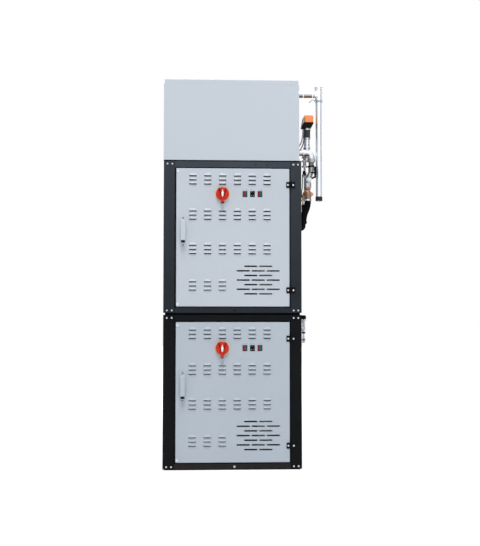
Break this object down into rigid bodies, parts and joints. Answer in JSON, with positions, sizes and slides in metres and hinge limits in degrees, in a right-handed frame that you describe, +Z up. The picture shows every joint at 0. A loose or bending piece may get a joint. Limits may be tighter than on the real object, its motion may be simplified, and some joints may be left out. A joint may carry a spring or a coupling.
{
  "type": "industrial boiler",
  "caption": "Electric steam boiler: stacked louvred cabinets with hinged doors and rotary main switches, a feed tank on top and feed pipework on one side.",
  "frame": {"origin": "middle of the lower base plate, on the floor", "axes": "+Z up, -Y is the front with the doors, +X is the side with the pipework"},
  "size_m": [0.8725, 0.904, 2.088],
  "materials": {
    "board_zinc": "zinc plated",
    "brass": "raw hot-pressed brass",
    "casing_grey": "fine satin powder coat",
    "dark_plastic": "moulded",
    "frame_black": "satin powder coat",
    "hinge_black": "black zinc die casting",
    "hose_rubber": "smooth",
    "motor_orange": "moulded",
    "nickel": "nickel plated",
    "plate_dark": "matt black",
    "stainless": "drawn stainless tube",
    "switch_black": "satin",
    "switch_red": "gloss",
    "switch_yellow": "gloss",
    "vessel_cladding": "brushed sheet cladding"
  },
  "bodies": {
    "boiler": {"branch_pipe": "stainless", "branch_valve": "nickel", "check_valve": "brass", "feed_hose": "hose_rubber", "feed_pipe": "stainless", "hose_clamps": "stainless", "inlet_elbow": "dark_plastic", "lower_base_plate": "plate_dark", "lower_boiler_vessel": "vessel_cladding", "lower_electrical_plate": "board_zinc", "lower_frame_hinge_leaves": "hinge_black", "lower_frame_posts": "frame_black", "lower_frame_rails": "frame_black", "lower_top_plate": "plate_dark", "lower_wall_panels": "casing_grey", "motor_cap": "motor_orange", "motor_collar": "stainless", "motor_housing": "dark_plastic", "motor_nut": "dark_plastic", "overflow_fitting": "stainless", "overflow_pipe": "stainless", "overflow_sleeve": "dark_plastic", "pipe_clamp": "dark_plastic", "shut_off_valve": "nickel", "side_tap": "brass", "tank_back_wall": "casing_grey", "tank_base": "casing_grey", "tank_front_wall": "casing_grey", "tank_lid": "casing_grey", "tank_side_walls": "casing_grey", "upper_base_plate": "plate_dark", "upper_boiler_vessel": "vessel_cladding", "upper_electrical_plate": "board_zinc", "upper_frame_hinge_leaves": "hinge_black", "upper_frame_posts": "frame_black", "upper_frame_rails": "frame_black", "upper_top_plate": "plate_dark", "upper_wall_panels": "casing_grey"},
    "lower_door": {"lower_door": "casing_grey", "lower_door_hinge_leaves": "hinge_black", "lower_door_handle": "casing_grey", "lower_switch_plate": "switch_yellow", "lower_switch_bezels": "switch_black", "lower_rocker_keys": "switch_black"},
    "lower_switch": {"lower_switch_knob": "switch_red"},
    "upper_door": {"upper_door": "casing_grey", "upper_door_hinge_leaves": "hinge_black", "upper_door_handle": "casing_grey", "upper_switch_plate": "switch_yellow", "upper_switch_bezels": "switch_black", "upper_rocker_keys": "switch_black"},
    "upper_switch": {"upper_switch_knob": "switch_red"},
    "valve_lever": {"valve_lever": "dark_plastic"},
    "tap_knob": {"tap_knob": "dark_plastic"}
  },
  "joints": [
    {"name": "door_lower", "type": "hinge", "parent": "boiler", "child": "lower_door", "pos_m": [0.3115, -0.4255, 0.693], "axis": [0, 0, 1], "range_deg": [0, 110]},
    {"name": "door_upper", "type": "hinge", "parent": "boiler", "child": "upper_door", "pos_m": [0.3115, -0.4255, 1.518], "axis": [0, 0, 1], "range_deg": [0, 110]},
    {"name": "main_switch_lower", "type": "hinge", "parent": "lower_door", "child": "lower_switch", "pos_m": [-0.0555, -0.4225, 0.643], "axis": [0, -1, 0], "range_deg": [0, 90]},
    {"name": "main_switch_upper", "type": "hinge", "parent": "upper_door", "child": "upper_switch", "pos_m": [-0.0555, -0.4225, 1.468], "axis": [0, -1, 0], "range_deg": [0, 90]},
    {"name": "shut_off_lever", "type": "hinge", "parent": "boiler", "child": "valve_lever", "pos_m": [0.416, -0.355, 1.559], "axis": [0, -1, 0], "range_deg": [-90, 0]},
    {"name": "tap_turn", "type": "hinge", "parent": "boiler", "child": "tap_knob", "pos_m": [0.391, -0.325, 0.795], "axis": [0, 0, 1], "range_deg": [0, 90]}
  ]
}
